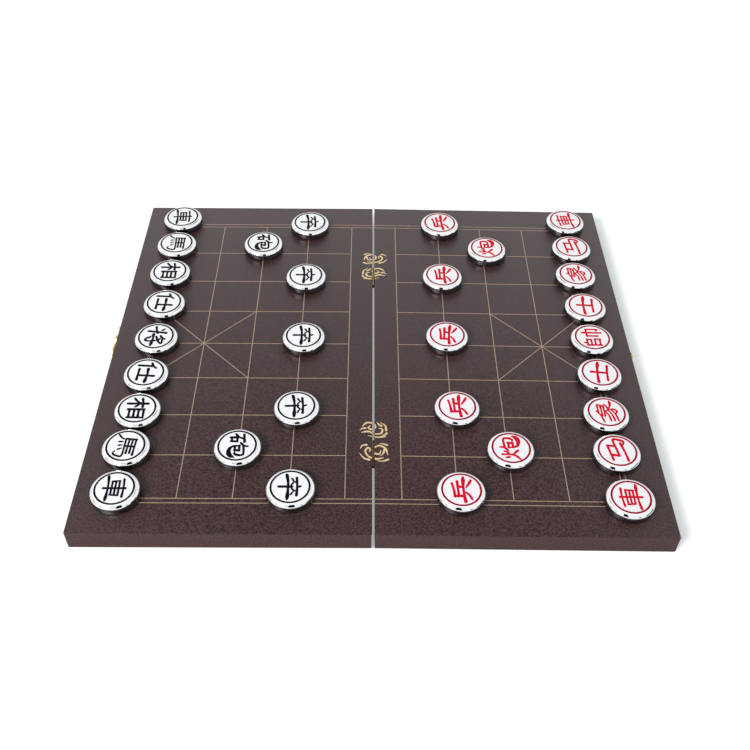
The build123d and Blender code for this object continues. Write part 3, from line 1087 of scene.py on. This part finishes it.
hook_rib()
for side, plate in (("left", "latch_plate"), ("right", "catch_plate")):
    low, high = local_box(side, plate)
    nail(f"{plate}_nail_low", side, high.y - PLATE_MARGIN, low.z + PLATE_MARGIN)
    nail(f"{plate}_nail_high", side, low.y + PLATE_MARGIN, high.z - PLATE_MARGIN)
for end in ("near", "far"):
    for side in SIDES:
        low, high = local_box(side, f"{end}_hinge_{side}_leaf")
        middle = (low.y + high.y) / 2
        for number, way in enumerate((-1, 1), 1):
            along = middle + way * SCREW_SPREAD
            screw(f"{end}_hinge_{side}_screw_{number}", side, along, SCREW_LEVEL)

# ---------------------------------------------------------------- studio


FLOOR_HALF = 3.0
FLOOR_DROP = 0.02 * MM
FLOOR_WHITE = (0.80, 0.80, 0.80, 1)
GLOW_COLOUR = (0.92, 1.0, 1.0, 1)
FLOOR_GLOW = 0.36
SWEEP_GLOW = 1.0
SWEEP_START = 0.35
SWEEP_END = 1.6


def floor_material():
    """White from above, with a glow that only the camera sees, and clear from below."""
    material = bpy.data.materials.new("studio_floor")
    graph = Graph(material)
    graph.nodes.clear()
    seen = graph.node("LightPath").outputs["Is Camera Ray"]
    white = graph.node("BsdfDiffuse")
    white.inputs["Color"].default_value = FLOOR_WHITE
    glow = graph.node("Emission")
    glow.inputs["Color"].default_value = GLOW_COLOUR
    reach = graph.vector("LENGTH", graph.node("TexCoord").outputs["Object"]).outputs["Value"]
    rise = graph.remap(reach, SWEEP_START, SWEEP_END, FLOOR_GLOW, SWEEP_GLOW)
    graph.feed(rise, glow.inputs["Strength"])
    both = graph.node("AddShader")
    graph.feed(white.outputs[0], both.inputs[0])
    graph.feed(glow.outputs[0], both.inputs[1])
    top = graph.pick_shader(seen, white.outputs[0], both.outputs[0])
    behind = graph.node("NewGeometry").outputs["Backfacing"]
    below = graph.number("MINIMUM", behind, seen)
    clear = graph.node("BsdfTransparent").outputs[0]
    out = graph.node("OutputMaterial")
    graph.feed(graph.pick_shader(below, top, clear), out.inputs["Surface"])
    return material


def staged(name, mesh, material):
    """Puts a bmesh in the scene as part of the studio."""
    data = bpy.data.meshes.new(name)
    mesh.to_mesh(data)
    mesh.free()
    data.materials.append(material)
    made = bpy.data.objects.new(name, data)
    bpy.context.scene.collection.objects.link(made)
    return made


def floor():
    """A white floor under the board. The camera sees it a little brighter, as a white sweep."""
    mesh = bmesh.new()
    bmesh.ops.create_grid(mesh, x_segments=2, y_segments=2, size=FLOOR_HALF)
    staged("studio_floor", mesh, floor_material()).location.z = -FLOOR_DROP


ROOM_COLOUR = (0.98, 0.99, 1.0, 1)
ROOM_WHITE = 1.0
ROOM_FILL = 0.50
DIM_STRENGTH = 0.0
DIM_HEIGHT = 64
DIM_INNER = 6
DIM_OUTER = 23
DIM_NARROWING = 0.5
FIRST_BOUNCE = 0.5


def dim_oval(graph):
    """The room's brightness by direction: white, with a dim oval high up behind the board."""
    direction = graph.node("TexCoord").outputs["Generated"]
    narrowed = graph.vector("MULTIPLY", direction, (DIM_NARROWING, 1, 1))
    unit = graph.vector("NORMALIZE", narrowed.outputs[0])
    height = math.radians(DIM_HEIGHT)
    middle = (0, math.cos(height), math.sin(height))
    towards = graph.vector("DOT_PRODUCT", unit.outputs[0], middle).outputs["Value"]
    inner = math.cos(math.radians(DIM_INNER))
    outer = math.cos(math.radians(DIM_OUTER))
    return graph.remap(towards, inner, outer, DIM_STRENGTH, ROOM_WHITE, "SMOOTHSTEP")


def room():
    """A white room. It lights the object less than it shows in the plating and behind it."""
    world = bpy.data.worlds.new("studio")
    bpy.context.scene.world = world
    graph = Graph(world)
    world.cycles.sampling_method = "NONE"
    graph.nodes.clear()
    path = graph.node("LightPath").outputs
    mirrored = graph.number("MAXIMUM", path["Is Glossy Ray"], path["Is Transmission Ray"])
    first = graph.number("LESS_THAN", path["Diffuse Depth"], FIRST_BOUNCE)
    direct = graph.number("MINIMUM", mirrored, first)
    strength = graph.pick(direct, ROOM_FILL, dim_oval(graph))
    strength = graph.pick(path["Is Camera Ray"], strength, ROOM_WHITE)
    light = graph.node("Background")
    light.inputs["Color"].default_value = ROOM_COLOUR
    graph.feed(strength, light.inputs["Strength"])
    out = graph.node("OutputWorld")
    graph.feed(light.outputs[0], out.inputs["Surface"])


LAMP_PLACE = (-1.40, -1.55, 1.70)
LAMP_SIZE = (1.0, 0.8)
LAMP_POWER = 66


def lamp():
    """One large soft lamp, in front on the left, turned to the middle of the board."""
    light = bpy.data.lights.new("key", "AREA")
    light.shape = "RECTANGLE"
    light.size, light.size_y = LAMP_SIZE
    light.energy = LAMP_POWER
    made = bpy.data.objects.new("key", light)
    made.location = LAMP_PLACE
    made.rotation_euler = (-Vector(LAMP_PLACE)).to_track_quat("-Z", "Y").to_euler()
    bpy.context.scene.collection.objects.link(made)


CAMERA_PLACE = Vector((-5.510, -427.068, 418.960)) * MM
CAMERA_PITCH = 0.79243
CAMERA_YAW = -0.01623
CAMERA_ROLL = 0.02138
PICTURE_SIZE = 750
FOCAL_PIXELS = 945.69
SENSOR = 36.0
CLIP_START = 0.01
CLIP_END = 20


def camera():
    """The view: pitched down, a little turned and a little rolled."""
    flat = math.cos(CAMERA_PITCH)
    east = math.cos(CAMERA_YAW)
    north = math.sin(CAMERA_YAW)
    ahead = Vector((-north * flat, east * flat, -math.sin(CAMERA_PITCH)))
    level = Vector((east, north, 0))
    upward = level.cross(ahead)
    right = level * math.cos(CAMERA_ROLL) + upward * math.sin(CAMERA_ROLL)
    top = upward * math.cos(CAMERA_ROLL) - level * math.sin(CAMERA_ROLL)
    data = bpy.data.cameras.new("camera")
    data.sensor_width = SENSOR
    data.lens = FOCAL_PIXELS / PICTURE_SIZE * SENSOR
    data.clip_start = CLIP_START
    data.clip_end = CLIP_END
    made = bpy.data.objects.new("camera", data)
    turn = Matrix((right, top, -ahead)).transposed().to_4x4()
    made.matrix_world = Matrix.Translation(CAMERA_PLACE) @ turn
    bpy.context.scene.collection.objects.link(made)
    bpy.context.scene.camera = made


# Dark things about the studio that only the bright plating shows: the camera, and the edges
# of the lamps. Bearing from the front in degrees, then in metres the distance, the width,
# and the lowest and highest point.
DARK_CARDS = {
    "camera_body": (-1, 0.47, 0.18, 0.14, 0.95),
    "camera_strap": (-26, 0.52, 0.26, 0.42, 0.52),
    "left_lamp": (-52, 0.9, 0.12, 0.26, 0.42),
    "left_edge": (-80, 1.0, 0.24, 0.20, 0.34),
    "right_lamp": (38, 0.9, 0.14, 0.16, 0.34),
    "right_edge": (72, 1.0, 0.60, 0.00, 0.22),
}
CARD_COLOUR = (0.006, 0.006, 0.010, 1)


def dark_cards():
    """Upright dark cards round the board, which only mirrors show."""
    card = Material("dark_card", Base_Color=CARD_COLOUR, Specular_IOR_Level=0.0)
    for name, (bearing, distance, width, low, high) in DARK_CARDS.items():
        mesh = bmesh.new()
        corners = [(-width / 2, low), (width / 2, low), (width / 2, high), (-width / 2, high)]
        mesh.faces.new([mesh.verts.new((x, -distance, z)) for x, z in corners])
        made = staged(name, mesh, card.material)
        made.rotation_euler.z = math.radians(bearing)
        made.visible_camera = False
        made.visible_diffuse = False
        made.visible_shadow = False


bpy.context.scene.view_settings.view_transform = "Standard"
floor()
room()
lamp()
dark_cards()
camera()
